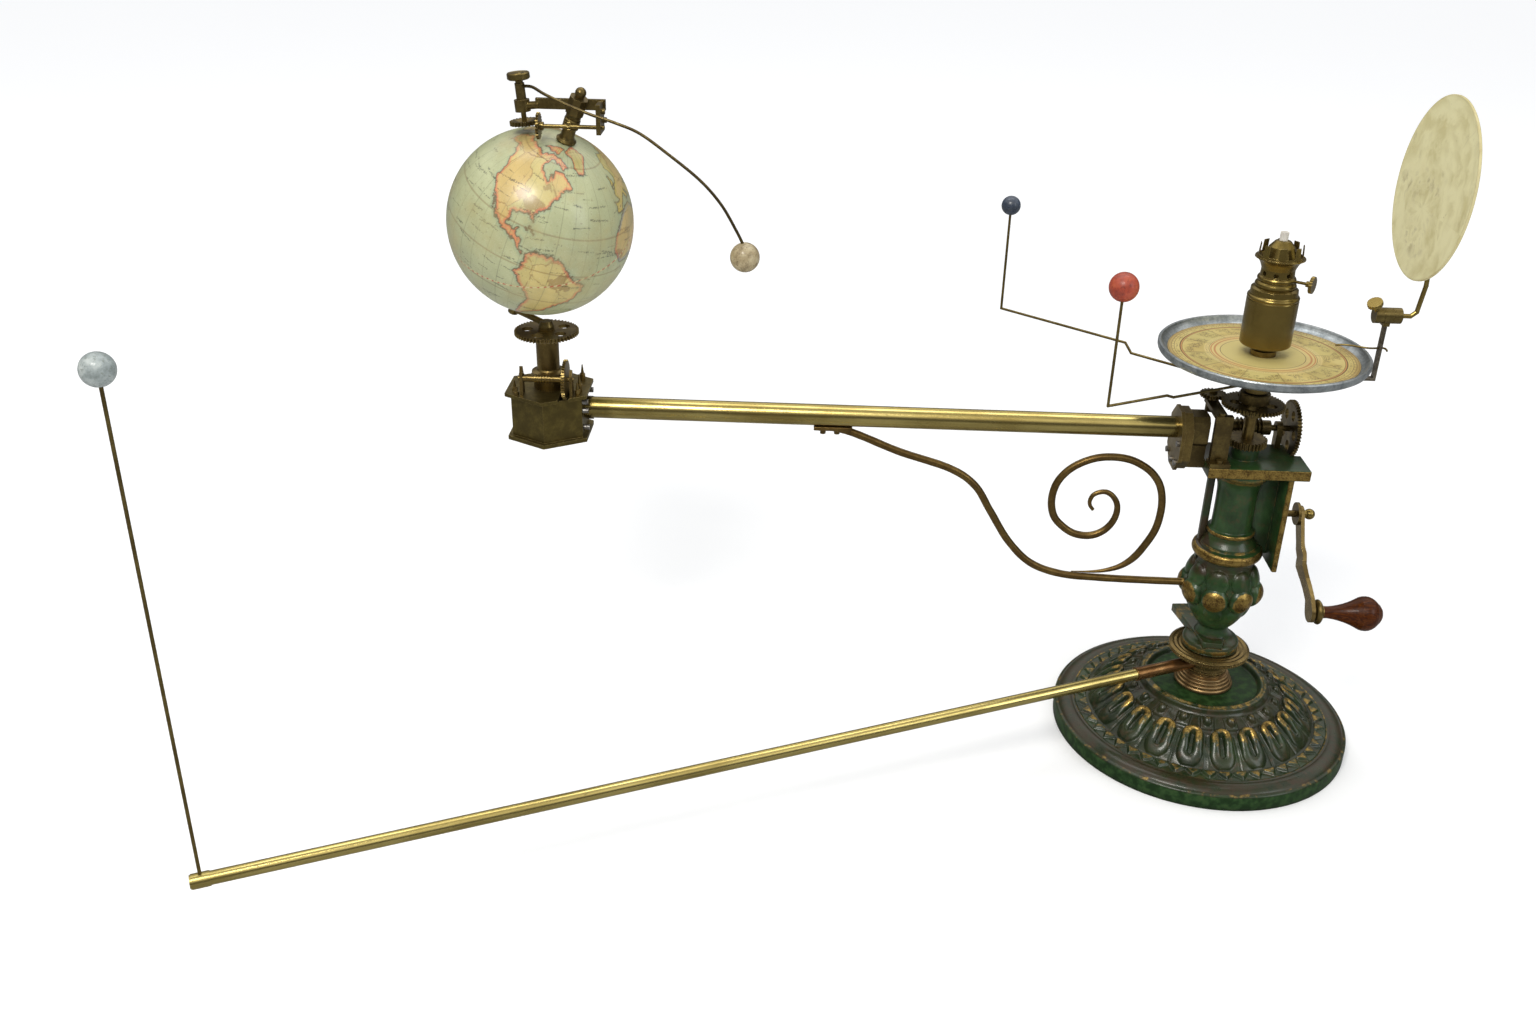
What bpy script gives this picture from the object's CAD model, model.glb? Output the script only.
import math
from functools import cached_property

import bmesh
import bpy
import numpy as np
from mathutils import Matrix, Vector


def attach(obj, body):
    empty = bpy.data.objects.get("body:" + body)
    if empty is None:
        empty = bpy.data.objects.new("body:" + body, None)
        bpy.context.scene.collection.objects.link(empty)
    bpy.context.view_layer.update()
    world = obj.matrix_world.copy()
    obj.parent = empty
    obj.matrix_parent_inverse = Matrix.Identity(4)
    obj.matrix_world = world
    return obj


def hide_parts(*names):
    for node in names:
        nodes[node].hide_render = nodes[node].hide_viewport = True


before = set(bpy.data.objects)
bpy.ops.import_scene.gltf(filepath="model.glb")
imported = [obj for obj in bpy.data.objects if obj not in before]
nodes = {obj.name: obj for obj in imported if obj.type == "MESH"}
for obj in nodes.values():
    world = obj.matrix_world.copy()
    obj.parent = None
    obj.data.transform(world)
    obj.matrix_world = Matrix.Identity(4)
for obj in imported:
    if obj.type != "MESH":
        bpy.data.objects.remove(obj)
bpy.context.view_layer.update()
scene = bpy.context.scene

MM = 0.001
TAU = 2 * math.pi
CAMERA_PLACE = Vector((-0.3709, -1.1310, 0.7739))
GLOBE_CENTRE = Vector((-0.596, 0, 0.4615))
GLOBE_RADIUS = 0.075
GLOBE_TILT = 23.5  # degrees, also the latitude of the printed tropics
GLOBE_HEADING = -30  # degrees about Z towards which the north pole leans


# ------------------------------------------------------------ shader graphs
class Signal:
    """A node output. Each arithmetic operator adds a math node; a | b is the larger of two."""

    def __init__(self, graph, socket):
        self.graph = graph
        self.socket = socket

    def op(self, kind, other=0.0):
        return self.graph.math(kind, self, other)

    def __add__(self, other):
        return self.op("ADD", other)

    def __radd__(self, other):
        return self.graph.math("ADD", other, self)

    def __sub__(self, other):
        return self.op("SUBTRACT", other)

    def __rsub__(self, other):
        return self.graph.math("SUBTRACT", other, self)

    def __mul__(self, other):
        return self.op("MULTIPLY", other)

    def __or__(self, other):
        return self.op("MAXIMUM", other)

    def __abs__(self):
        return self.op("ABSOLUTE")

    def rise(self, low, high):
        """Smooth step from 0 at low to 1 at high."""
        inputs = {0: self, 1: low, 2: high}
        return self.graph.node("MapRange", inputs, interpolation_type="SMOOTHSTEP")

    def fall(self, low, high):
        return 1.0 - self.rise(low, high)

    def band(self, low, high, soft):
        """1 between low and high, with edges softened by soft on both sides."""
        return self.rise(low - soft, low + soft) * self.fall(high - soft, high + soft)


class Graph:
    """Short ways to add nodes to a node tree."""

    def __init__(self, tree):
        self.tree = tree

    def feed(self, socket, value):
        if isinstance(value, Signal):
            self.tree.links.new(value.socket, socket)
        elif isinstance(value, tuple) and socket.type != "VECTOR":
            socket.default_value = value + (1.0,)
        else:
            socket.default_value = value

    def node(self, kind, inputs=(), output=0, **settings):
        node = self.tree.nodes.new("ShaderNode" + kind)
        for key, value in settings.items():
            setattr(node, key, value)
        for key, value in dict(inputs).items():
            self.feed(node.inputs[key], value)
        return Signal(self, node.outputs[output])

    def outputs(self, kind, inputs, *names):
        """Several outputs of one new node."""
        node = self.node(kind, inputs).socket.node
        return [Signal(self, node.outputs[name]) for name in names]

    def math(self, kind, first, second):
        return self.node("Math", {0: first, 1: second}, operation=kind)

    def ramp(self, factor, stops):
        color = self.node("ValToRGB", {0: factor})
        elements = color.socket.node.color_ramp.elements
        while len(elements) < len(stops):
            elements.new(0.5)
        for element, (position, rgb) in zip(elements, stops):
            element.position = position
            element.color = rgb + (1.0,)
        return color

    def mix(self, amount, below, above):
        """Colour going from below at amount 0 to above at amount 1."""
        return self.node("Mix", {0: amount, 6: below, 7: above}, 2, data_type="RGBA")

    def mix_value(self, amount, below, above):
        return self.node("Mix", {0: amount, 2: below, 3: above}, data_type="FLOAT")


def hypotenuse(first, second):
    return (first * first + second * second).op("SQRT")


class Material(Graph):
    """A material with one principled shader, textured in object coordinates."""

    INPUTS = {"color": "Base Color", "rough": "Roughness", "metal": "Metallic",
              "coat": "Coat Weight", "coat_rough": "Coat Roughness", "spec": "Specular IOR Level",
              "glow": "Emission Strength", "glow_color": "Emission Color"}

    def __init__(self, name):
        self.data = bpy.data.materials.new(name)
        self.data.use_nodes = True
        super().__init__(self.data.node_tree)
        self.tree.nodes.clear()
        output = self.tree.nodes.new("ShaderNodeOutputMaterial")
        self.shader = self.tree.nodes.new("ShaderNodeBsdfPrincipled")
        self.tree.links.new(self.shader.outputs[0], output.inputs[0])
        self.coords = self.node("TexCoord", output="Object")

    @cached_property
    def xyz(self):
        return self.outputs("SeparateXYZ", {0: self.coords}, "X", "Y", "Z")

    def offset(self, centre):
        x, y, _ = self.xyz
        return x - centre[0], y - centre[1]

    def radius(self, centre=(0.0, 0.0)):
        return hypotenuse(*self.offset(centre))

    def angle(self, centre=(0.0, 0.0)):
        x, y = self.offset(centre)
        return y.op("ARCTAN2", x)

    def attribute(self, name, output="Fac"):
        return self.node("Attribute", output=output, attribute_name=name)

    def noise(self, scale, detail, rough, stretch=None, warp=0.0, turn=0.0):
        coords = self.coords
        if turn:
            coords = self.node("Mapping", {0: coords, "Rotation": (0, 0, turn)})
        if stretch:
            coords = self.node("Mapping", {0: coords, "Scale": stretch})
        return self.node("TexNoise", {"Scale": scale, "Detail": detail, "Roughness": rough,
                                      "Distortion": warp, "Vector": coords})

    def bevel(self, radius):
        """Keeps a normal rounded over a radius in mm, for bump() to start from."""
        self.rounded = self.node("Bevel", {0: radius * MM}, samples=4)

    def edge(self, radius):
        """Worn edges: where the rounded normal leaves the true one."""
        self.bevel(radius)
        inputs = {0: self.rounded, 1: self.node("NewGeometry", output="Normal")}
        match = self.node("VectorMath", inputs, "Value", operation="DOT_PRODUCT")
        return (1.0 - match).rise(low=0.02, high=0.22)

    def bump(self, height, strength, distance, normal=None):
        inputs = {"Strength": strength, "Distance": distance, "Height": height}
        if normal is not None:
            inputs["Normal"] = normal
        self.feed(self.shader.inputs["Normal"], self.node("Bump", inputs))

    def set(self, **values):
        for key, value in values.items():
            self.feed(self.shader.inputs[self.INPUTS[key]], value)


def shade(color, factor):
    return tuple(channel * factor for channel in color)


# ------------------------------------------------------------ metals
def brass(name, bright, dark, rough, grime, streak=None, edge_radius=0.28, scale=60.0,
          edge_color=(0.80, 0.62, 0.26), crisp=False):
    """Tarnished brass; crisp keeps the true normal at the edges."""
    m = Material(name)
    broad = m.noise(scale=scale, detail=5, rough=0.6)
    fine = m.noise(scale=scale * 9, detail=3, rough=0.6, stretch=streak)
    clean = (broad * 0.75 + fine * 0.25).rise(low=0.38, high=0.38 + 0.34 / grime)
    color = m.mix(clean, dark, bright)
    color = m.mix(m.edge(edge_radius) * 0.6, color, edge_color)
    spots = m.noise(scale=scale * 5, detail=2, rough=0.5).rise(low=0.66, high=0.72)
    color = m.mix(spots * (0.35 * grime), color, shade(dark, 0.35))
    m.set(color=color, metal=m.mix_value(clean, 0.85, 0.98),
          rough=m.mix_value(clean, rough + 0.16 * grime + 0.03, rough))
    m.bump(fine, strength=0.025, distance=0.0002, normal=None if crisp else m.rounded)
    return m.data


def steel(name, bright=(0.42, 0.41, 0.39), dark=(0.13, 0.12, 0.11), rough=0.34,
          streak=(1, 1, 12)):
    m = Material(name)
    broad = m.noise(scale=140, detail=5, rough=0.6)
    fine = m.noise(scale=900, detail=3, rough=0.6, stretch=streak)
    clean = (broad * 0.6 + fine * 0.4).rise(low=0.36, high=0.66)
    color = m.mix(m.edge(0.4) * 0.5, m.mix(clean, dark, bright), (0.72, 0.70, 0.66))
    m.set(color=color, metal=0.95, rough=m.mix_value(clean, rough + 0.2, rough))
    m.bump(fine, strength=0.12, distance=0.0003, normal=m.rounded)
    return m.data


def long_tube(name, bright, dark, rough, turn=0.0, ends=None):
    """Drawn tube: lengthwise polishing lines over slow tarnish, browner towards its X ends."""
    m = Material(name)
    slow = m.noise(scale=11, detail=4, rough=0.55, turn=turn)
    lines = m.noise(scale=240, detail=4, rough=0.6, stretch=(0.05, 1, 1), turn=turn)
    spots = m.noise(scale=210, detail=3, rough=0.55).rise(low=0.66, high=0.76)
    clean = (slow * 0.55 + lines * 0.45).rise(low=0.34, high=0.60)
    color = m.mix(clean, dark, bright)
    color = m.mix(spots * 0.35, color, shade(dark, 0.4))
    if ends:
        start, end = ends
        along = m.xyz[0] + (m.noise(scale=60, detail=3, rough=0.6) - 0.5) * 0.03
        browned = along.fall(low=start, high=start + 0.02) | along.rise(low=end - 0.05, high=end)
        color = m.mix(browned * 0.7, color, shade(dark, 0.55))
    m.bevel(0.2)
    m.set(color=color, metal=0.97, rough=m.mix_value(clean, rough + 0.12, rough))
    m.bump(lines, strength=0.03, distance=0.0002, normal=m.rounded)
    return m.data


# name: bright colour, dark colour, roughness, grime, other settings of brass()
BRASSES = {
    "tube_brass": ((0.52, 0.41, 0.13), (0.24, 0.17, 0.045), 0.17, 0.5, dict(scale=46)),
    "old_brass": ((0.38, 0.28, 0.095), (0.14, 0.095, 0.030), 0.22, 0.7, dict(crisp=True)),
    "dark_brass": ((0.27, 0.20, 0.068), (0.085, 0.060, 0.022), 0.24, 0.8,
                   dict(edge_color=(0.55, 0.41, 0.15), edge_radius=0.15, crisp=True)),
    "ring_brass": ((0.46, 0.34, 0.13), (0.19, 0.13, 0.045), 0.17, 0.6, dict(scale=90)),
    "case_brass": ((0.24, 0.185, 0.055), (0.10, 0.075, 0.022), 0.30, 0.8, dict(scale=110)),
    "lamp_brass": ((0.40, 0.31, 0.095), (0.17, 0.12, 0.032), 0.16, 0.5, dict(scale=17)),
    "hub_brass": ((0.60, 0.43, 0.21), (0.27, 0.17, 0.075), 0.19, 0.6, dict(scale=80)),
    "copper_tube": ((0.44, 0.25, 0.10), (0.16, 0.075, 0.024), 0.18, 0.7,
                    dict(streak=(1, 14, 14))),
    "wire_brass": ((0.34, 0.26, 0.09), (0.12, 0.085, 0.028), 0.22, 0.7, dict(edge_radius=0.15)),
    "strut_bronze": ((0.30, 0.20, 0.062), (0.115, 0.068, 0.020), 0.26, 0.8, dict(scale=70)),
    "moon_wire_brass": ((0.25, 0.19, 0.07), (0.07, 0.05, 0.02), 0.26, 0.8,
                        dict(edge_radius=0.1)),
}
metals = {
    name: brass(name, bright, dark, rough, grime, **other)
    for name, (bright, dark, rough, grime, other) in BRASSES.items()
}


def zinc():
    m = Material("zinc")
    broad = m.noise(scale=70, detail=5, rough=0.6)
    fine = m.noise(scale=420, detail=3, rough=0.6)
    clean = (broad * 0.7 + fine * 0.3).rise(low=0.34, high=0.66)
    color = m.mix(clean, (0.20, 0.225, 0.235), (0.45, 0.485, 0.50))
    color = m.mix(m.edge(0.6) * 0.5, color, (0.68, 0.72, 0.74))
    m.set(color=color, metal=0.88, rough=m.mix_value(clean, 0.46, 0.30))
    m.bump(fine, strength=0.15, distance=0.0004, normal=m.rounded)
    return m.data


# ------------------------------------------------------------ card, wood, balls, disc, wick
# printed circles of the dial card: radius, line width (m)
CARD_CIRCLES = [(0.0758, 0.0005), (0.0735, 0.0004), (0.0712, 0.0004), (0.0665, 0.0009),
                (0.0648, 0.0004), (0.0430, 0.0004), (0.0340, 0.0005)]


def card():
    m = Material("card")
    radius, angle = m.radius(), m.angle()
    broad = m.noise(scale=28, detail=5, rough=0.6)
    grain = m.noise(scale=700, detail=3, rough=0.7)

    def circle(middle, width):
        return radius.band(low=middle - width / 2, high=middle + width / 2, soft=0.00012)

    def ticks(count, inner, outer, width):
        phase = abs((angle * (count / TAU)).op("FRACT") - 0.5)
        stroke = phase.rise(low=0.5 - width - 0.03, high=0.5 - width + 0.03)
        return stroke * radius.band(low=inner, high=outer, soft=0.0001)

    ink = circle(*CARD_CIRCLES[0])
    for middle, width in CARD_CIRCLES[1:]:
        ink |= circle(middle, width)
    ink |= ticks(count=180, inner=0.0735, outer=0.0758, width=0.10)
    ink |= ticks(count=72, inner=0.0712, outer=0.0735, width=0.05)
    ink |= ticks(count=12, inner=0.0430, outer=0.0648, width=0.008)
    ink |= ticks(count=12, inner=0.0665, outer=0.0712, width=0.010) * 0.8
    # small engraved marks and figures between the circles, with nothing legible in them
    marks = m.noise(scale=1200, detail=2, rough=0.5).rise(low=0.55, high=0.60)
    marks *= radius.band(low=0.0680, high=0.0700, soft=0.0002)
    patches = m.noise(scale=95, detail=3, rough=0.5).rise(low=0.46, high=0.53)
    curves = abs(m.noise(scale=420, detail=4, rough=0.65, warp=0.6) - 0.5)
    figures = curves.fall(low=0.016, high=0.055) * patches
    figures *= radius.band(low=0.0480, high=0.0625, soft=0.0010)
    small = m.noise(scale=1500, detail=2, rough=0.5).rise(low=0.57, high=0.61)
    small *= radius.band(low=0.0440, high=0.0462, soft=0.0003)
    ink |= marks * 0.9 | (figures * 0.85 | small * 0.8)
    rust = circle(0.0385, 0.0016) | (circle(0.0415, 0.0011) | circle(0.0657, 0.0014) * 0.9)

    color = m.ramp(broad, [(0.3, (0.38, 0.275, 0.080)), (0.52, (0.50, 0.395, 0.130)),
                           (0.72, (0.57, 0.470, 0.185))])
    outside = radius.rise(low=0.0465, high=0.0475)
    color = m.mix(outside, m.mix(0.45, color, (0.70, 0.56, 0.25)), color)
    color = m.mix(radius.fall(low=0.0335, high=0.0345) * 0.55, color, (0.50, 0.43, 0.15))
    sectors = (angle * 6.0).op("SINE").rise(low=-0.03, high=0.03)
    sectors *= radius.band(low=0.0430, high=0.0648, soft=0.0002)
    color = m.mix(sectors * 0.16, color, (0.34, 0.36, 0.14))
    color = m.mix(rust * 0.75, color, (0.40, 0.13, 0.035))
    color = m.mix(ink * 0.9, color, (0.075, 0.038, 0.014))
    color = m.mix(radius.rise(low=0.070, high=0.0766) * 0.45, color, (0.27, 0.15, 0.045))
    m.set(color=color, rough=m.mix_value(broad, 0.42, 0.62), spec=0.4, coat=0.12,
          coat_rough=0.3)
    m.bump(grain, strength=0.15, distance=0.0003)
    return m.data


def wood():
    m = Material("wood")
    grain = m.noise(scale=60, detail=6, rough=0.6, stretch=(1.0, 9.0, 9.0), warp=1.2)
    fibre = m.noise(scale=420, detail=4, rough=0.6, stretch=(0.6, 8.0, 8.0))
    color = m.ramp(grain, [(0.30, (0.018, 0.0035, 0.0008)), (0.50, (0.054, 0.0120, 0.0012)),
                           (0.70, (0.110, 0.0300, 0.0024))])
    wear = m.noise(scale=90, detail=4, rough=0.6).rise(low=0.60, high=0.72)
    color = m.mix(wear * 0.35, color, (0.13, 0.045, 0.011))
    m.set(color=color, rough=m.mix_value(fibre, 0.26, 0.40), coat=0.10, coat_rough=0.05,
          spec=0.14)
    m.bump(fibre, strength=0.25, distance=0.0004)
    return m.data


def ball(name, colors, scale, rough, speck=None, coat=0.4):
    """Painted ball in three mottled colours; speck is a colour and its strength."""
    m = Material(name)
    mottle = m.noise(scale=scale, detail=5, rough=0.65)
    color = m.ramp(mottle, list(zip((0.32, 0.50, 0.68), colors)))
    if speck:
        speck_color, amount = speck
        specks = m.noise(scale=scale * 5, detail=3, rough=0.6).rise(low=0.58, high=0.64)
        color = m.mix(specks * amount, color, speck_color)
    scratches = m.noise(scale=scale * 3, detail=2, rough=0.4, stretch=(1, 1, 7))
    scratches = scratches.rise(low=0.66, high=0.70)
    m.set(color=color, rough=m.mix_value(mottle | scratches, rough, rough + 0.25), coat=coat,
          coat_rough=0.12)
    m.bump(mottle, strength=0.12, distance=0.0006)
    return m.data


def cream_disc():
    """Clouded cream face with a swirl turning about a point off the disc's centre."""
    m = Material("cream_disc")
    centred = m.node("Mapping", {0: m.coords, "Location": (-0.1085, 0, -0.509)})
    y, z = m.outputs("SeparateXYZ", {0: centred}, "Y", "Z")
    radius = hypotenuse(y, z)
    cloud = m.noise(scale=26, detail=4, rough=0.6, warp=0.6)
    swirl_y, swirl_z = y - 0.012, z + 0.018
    swirl_radius = hypotenuse(swirl_y, swirl_z)
    swirl_coords = m.node("CombineXYZ", {0: swirl_radius * 22.0 + cloud * 0.9,
                                         1: swirl_z.op("ARCTAN2", swirl_y) * 0.55})
    swirl = m.node("TexNoise", {"Scale": 4.2, "Detail": 4.0, "Vector": swirl_coords})
    clean = (cloud * 0.5 + swirl * 0.5).rise(low=0.34, high=0.58)
    color = m.mix(clean, (0.58, 0.52, 0.26), (0.74, 0.69, 0.40))
    smears = swirl.rise(low=0.50, high=0.70)
    smears *= m.noise(scale=17, detail=3, rough=0.5).rise(low=0.47, high=0.60)
    smears *= swirl_radius.rise(low=0.010, high=0.024)
    smears |= m.noise(scale=24, detail=4, rough=0.6, warp=1.2).rise(low=0.58, high=0.72) * 0.5
    color = m.mix(smears * 0.75, color, (0.30, 0.235, 0.105))
    stains = m.noise(scale=21, detail=2, rough=0.5).rise(low=0.60, high=0.74)
    color = m.mix(stains * 0.5, color, (0.58, 0.44, 0.14))
    color = m.mix(radius.rise(low=0.0690, high=0.0716) * 0.40, color, (0.40, 0.32, 0.14))
    spots = m.noise(scale=300, detail=3, rough=0.6).rise(low=0.68, high=0.74)
    color = m.mix(spots * 0.4, color, (0.32, 0.26, 0.12))
    m.set(color=color, metal=0.10, rough=m.mix_value(clean, 0.55, 0.42), spec=0.35)
    m.bump(swirl, strength=0.08, distance=0.0004)
    return m.data


def wick_weave():
    m = Material("wick_weave")
    z = m.xyz[2]
    weave = (z * 5200.0 + m.angle() * 8.0).op("SINE")
    fuzz = m.noise(scale=600, detail=3, rough=0.6)
    color = m.mix(fuzz * 0.6, (0.80, 0.77, 0.70), (0.52, 0.48, 0.40))
    scorched = z.rise(low=0.466, high=0.4715) * 0.25
    m.set(color=m.mix(scorched, color, (0.25, 0.20, 0.16)), rough=0.9)
    m.bump(weave + fuzz, strength=0.5, distance=0.0005)
    return m.data


# ------------------------------------------------------------ paint on the castings
GOLD_BRIGHT, GOLD_DARK = (0.38, 0.255, 0.070), (0.10, 0.060, 0.017)


def cast_paint(name, greens, rough, brown, gilding_of, browning_of, fresh_of=None):
    """Dark green enamel over casting texture, with gilding rubbed through on the raised work.

    The three *_of functions take the material and return masks for gold, brown and fresh green.
    """
    m = Material(name)
    broad = m.noise(scale=38, detail=6, rough=0.62)
    middle = m.noise(scale=150, detail=5, rough=0.6)
    fine = m.noise(scale=900, detail=3, rough=0.5)
    color = m.ramp(broad, list(zip((0.30, 0.50, 0.68), greens)))
    color = m.mix(middle.rise(low=0.50, high=0.70) * brown, color, (0.062, 0.038, 0.014))
    browned = browning_of(m) * (broad * 0.6 + middle * 0.4).rise(low=0.34, high=0.58)
    umber = m.mix(fine, (0.019, 0.012, 0.0045), (0.040, 0.0235, 0.008))
    color = m.mix(browned * 0.85, color, umber)
    fresh = 0.0
    if fresh_of:
        fresh = fresh_of(m)
        leaf = m.mix(middle.rise(low=0.40, high=0.62), (0.009, 0.030, 0.007),
                     (0.026, 0.072, 0.019))
        color = m.mix(fresh * 0.8, color, leaf)
    gilding = gilding_of(m)
    rubbed = gilding + (middle - 0.5) * 1.25
    gilt = rubbed.rise(low=0.36, high=0.74) * gilding.rise(low=0.02, high=0.3)
    gilt |= m.edge(1.0) * middle.rise(low=0.42, high=0.6) * 0.55
    gold = m.mix((fine * 0.5 + middle * 0.5).rise(low=0.36, high=0.62), GOLD_DARK, GOLD_BRIGHT)
    color = m.mix(gilt, color, gold)
    openness = m.node("AmbientOcclusion", {"Distance": 0.012}, "AO", samples=4)
    color = m.mix(openness.fall(low=0.35, high=0.85) * 0.55, color, (0.010, 0.011, 0.008))
    dull = rough + 0.16 + m.math("MULTIPLY", fresh, 0.22)
    paint_rough = m.mix_value(middle, rough - 0.06, dull)
    m.set(color=color, metal=gilt * 0.85, rough=m.mix_value(gilt, paint_rough, 0.30),
          spec=m.mix_value(fresh, 0.30, 0.16), coat=m.mix_value(gilt | fresh, 0.30, 0.0),
          coat_rough=0.16)
    m.bump(middle * 0.7 + fine * 0.3, strength=0.32, distance=0.0009, normal=m.rounded)
    return m.data


def column_gilding(m):
    x, y, z = m.xyz
    radius = m.radius()
    domes = m.attribute("raised").rise(low=0.52, high=0.90) * 0.92
    # turned rings of the shaft
    rings = z.band(low=0.1826, high=0.1912, soft=0.0010) * radius.rise(low=0.0262, high=0.0288)
    rings |= (z.band(low=0.1918, high=0.1945, soft=0.0005)
              * (radius.rise(low=0.0230, high=0.0238) * 0.50))
    rings |= z.band(low=0.2042, high=0.2074, soft=0.0006) * radius.rise(low=0.0192, high=0.0203)
    flare = radius.rise(low=0.0200, high=0.0225) * radius.fall(low=0.0285, high=0.0295)
    rings |= z.band(low=0.2545, high=0.2655, soft=0.002) * (flare * 0.62)
    rings |= (z.band(low=0.0885, high=0.0935, soft=0.0010)
              * (radius.rise(low=0.0236, high=0.0246) * 0.6))
    # -Y and +X sides of the platform, then the -Y edge of the web under its +X end
    sides = y.fall(low=-0.0279, high=-0.0272) | x.rise(low=0.0493, high=0.0499)
    platform = z.band(low=0.2665, high=0.2753, soft=0.0004) * sides
    web = y.fall(low=-0.0262, high=-0.0250) * z.band(low=0.176, high=0.266, soft=0.001)
    web = x.rise(low=0.0325, high=0.033) * web
    tab = (z.band(low=0.0935, high=0.1020, soft=0.0006)
           * (radius.rise(low=0.0262, high=0.0275) * 0.45))
    return domes | rings * m.attribute("turned") | platform * 0.95 | web * 0.85 | tab


def column_browning(m):
    x, _, z = m.xyz
    brown = z.band(low=0.169, high=0.182, soft=0.003) * 0.9
    brown |= z.band(low=0.194, high=0.203, soft=0.002) * 0.5
    stay = x.fall(low=-0.0196, high=-0.0192) * z.rise(low=0.165, high=0.170)
    brown |= stay * 1.2
    return brown | z.band(low=0.0925, high=0.103, soft=0.001) * 0.7


def foot_gilding(m):
    radius = m.radius()
    gilt = m.attribute("raised") * 0.9
    gilt |= radius.band(low=0.0512, high=0.0560, soft=0.0010) * 0.52
    gilt |= radius.band(low=0.1285, high=0.1318, soft=0.0009) * 0.35
    return gilt | radius.band(low=0.1136, high=0.1150, soft=0.0004) * 0.5


def foot_browning(m):
    z = m.xyz[2]
    radius = m.radius()
    brown = radius.band(low=0.1145, high=0.1300, soft=0.0012) * z.rise(low=0.0136, high=0.0150)
    brown |= radius.band(low=0.0560, high=0.0760, soft=0.003) * 0.75
    return brown | radius.band(low=0.0930, high=0.1035, soft=0.002) * 0.4


def foot_fresh(m):
    """Greener paint on the outer wall and on the flat inside the raised ring."""
    z = m.xyz[2]
    radius = m.radius()
    wall = radius.rise(low=0.1306, high=0.1314) * z.fall(low=0.0128, high=0.0138)
    flat = radius.fall(low=0.0478, high=0.0488) * z.rise(low=0.0470, high=0.0475)
    return wall | flat


cast_green = cast_paint(
    "cast_green", ((0.007, 0.020, 0.004), (0.016, 0.044, 0.011), (0.030, 0.072, 0.020)),
    rough=0.28, brown=0.42, gilding_of=column_gilding, browning_of=column_browning)
base_green = cast_paint(
    "base_green", ((0.006, 0.013, 0.003), (0.013, 0.027, 0.006), (0.026, 0.050, 0.012)),
    rough=0.26, brown=0.75, gilding_of=foot_gilding, browning_of=foot_browning,
    fresh_of=foot_fresh)


# ------------------------------------------------------------ mesh helpers
def new_object(name, coords, faces, material, smooth=True):
    mesh = bpy.data.meshes.new(name)
    mesh.from_pydata([tuple(c) for c in coords], [], faces)
    mesh.update()
    if smooth:
        mesh.polygons.foreach_set("use_smooth", [True] * len(mesh.polygons))
    obj = bpy.data.objects.new(name, mesh)
    scene.collection.objects.link(obj)
    mesh.materials.append(material)
    return obj


def fit(obj, carrier, replaced):
    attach(obj, carrier)
    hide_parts(replaced)


def set_values(obj, name, values):
    """Float attribute on the first vertices of a mesh; the others stay at 0."""
    filled = np.zeros(len(obj.data.vertices), np.float32)
    filled[:values.size] = values.reshape(-1)
    obj.data.attributes.new(name, "FLOAT", "POINT").data.foreach_set("value", filled)


def grid_faces(rows, columns, closed=False):
    """Quads of a grid whose columns wrap round, and whose rows do too when closed."""
    row, column = np.meshgrid(np.arange(rows if closed else rows - 1), np.arange(columns),
                              indexing="ij")
    next_row, next_column = (row + 1) % rows, (column + 1) % columns
    corners = [row * columns + column, next_row * columns + column,
               next_row * columns + next_column, row * columns + next_column]
    return np.stack(corners, -1).reshape(-1, 4).tolist()


def capped_faces(rows, columns):
    ring = list(range(columns))
    last = (rows - 1) * columns
    return grid_faces(rows, columns) + [ring[::-1], [last + i for i in ring]]


def subdivide(points, step_of):
    """Splits each segment of a 2D outline into steps of about step_of(start, end)."""
    out = [points[0]]
    for start, end in zip(points[:-1], points[1:]):
        length = math.hypot(end[0] - start[0], end[1] - start[1])
        count = max(1, int(round(length / step_of(start, end))))
        for i in range(1, count + 1):
            t = i / count
            out.append((start[0] + (end[0] - start[0]) * t, start[1] + (end[1] - start[1]) * t))
    return np.array(out)


def turned_grid(profile, steps):
    """Radius, angle and height arrays of a profile turned about Z."""
    around = np.linspace(0, TAU, steps, endpoint=False)
    radius, angle = np.meshgrid(profile[:, 0], around, indexing="ij")
    height = np.meshgrid(profile[:, 1], around, indexing="ij")[0]
    return radius, angle, height


def polar_coords(radius, angle, height):
    coords = np.stack([radius * np.cos(angle), radius * np.sin(angle), height], -1)
    return coords.reshape(-1, 3) * MM


def fold(value, pitch):
    """Signed distance from the nearest multiple of pitch."""
    return (value + pitch / 2) % pitch - pitch / 2


def catmull(points, per):
    """Catmull-Rom curve through the points, with per samples to a span."""
    points = np.array(points, float)
    points = np.vstack([2 * points[0] - points[1], points, 2 * points[-1] - points[-2]])
    out = []
    for i in range(1, len(points) - 2):
        a, b, c, d = points[i - 1:i + 3]
        for k in range(per):
            t = k / per
            out.append(0.5 * ((2 * b) + (-a + c) * t + (2 * a - 5 * b + 4 * c - d) * t ** 2
                              + (-a + 3 * b - 3 * c + d) * t ** 3))
    out.append(points[-2])
    return np.array(out)


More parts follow.
